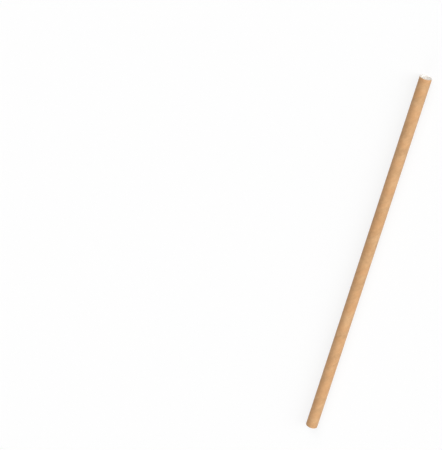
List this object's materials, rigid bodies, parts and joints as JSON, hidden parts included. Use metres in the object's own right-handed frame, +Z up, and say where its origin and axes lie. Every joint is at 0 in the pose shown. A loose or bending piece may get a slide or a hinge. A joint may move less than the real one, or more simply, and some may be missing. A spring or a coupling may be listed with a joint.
{
  "type": "paper drinking straw",
  "caption": "Spiral-wound paper drinking straw, kraft brown outside and white inside, open at both square-cut ends.",
  "frame": {"origin": "midway along the line on which the straw rests", "axes": "+X along the straw, towards the end that is at the top in the picture; +Z up from the surface on which it lies"},
  "size_m": [0.197, 0.006, 0.006],
  "materials": {
    "kraft_paper": "matt, uncoated brown kraft",
    "white_paper": "matt, uncoated white"
  },
  "bodies": {
    "root": {"kraft_outer_ply": "kraft_paper", "white_inner_wall": "white_paper"}
  },
  "joints": []
}
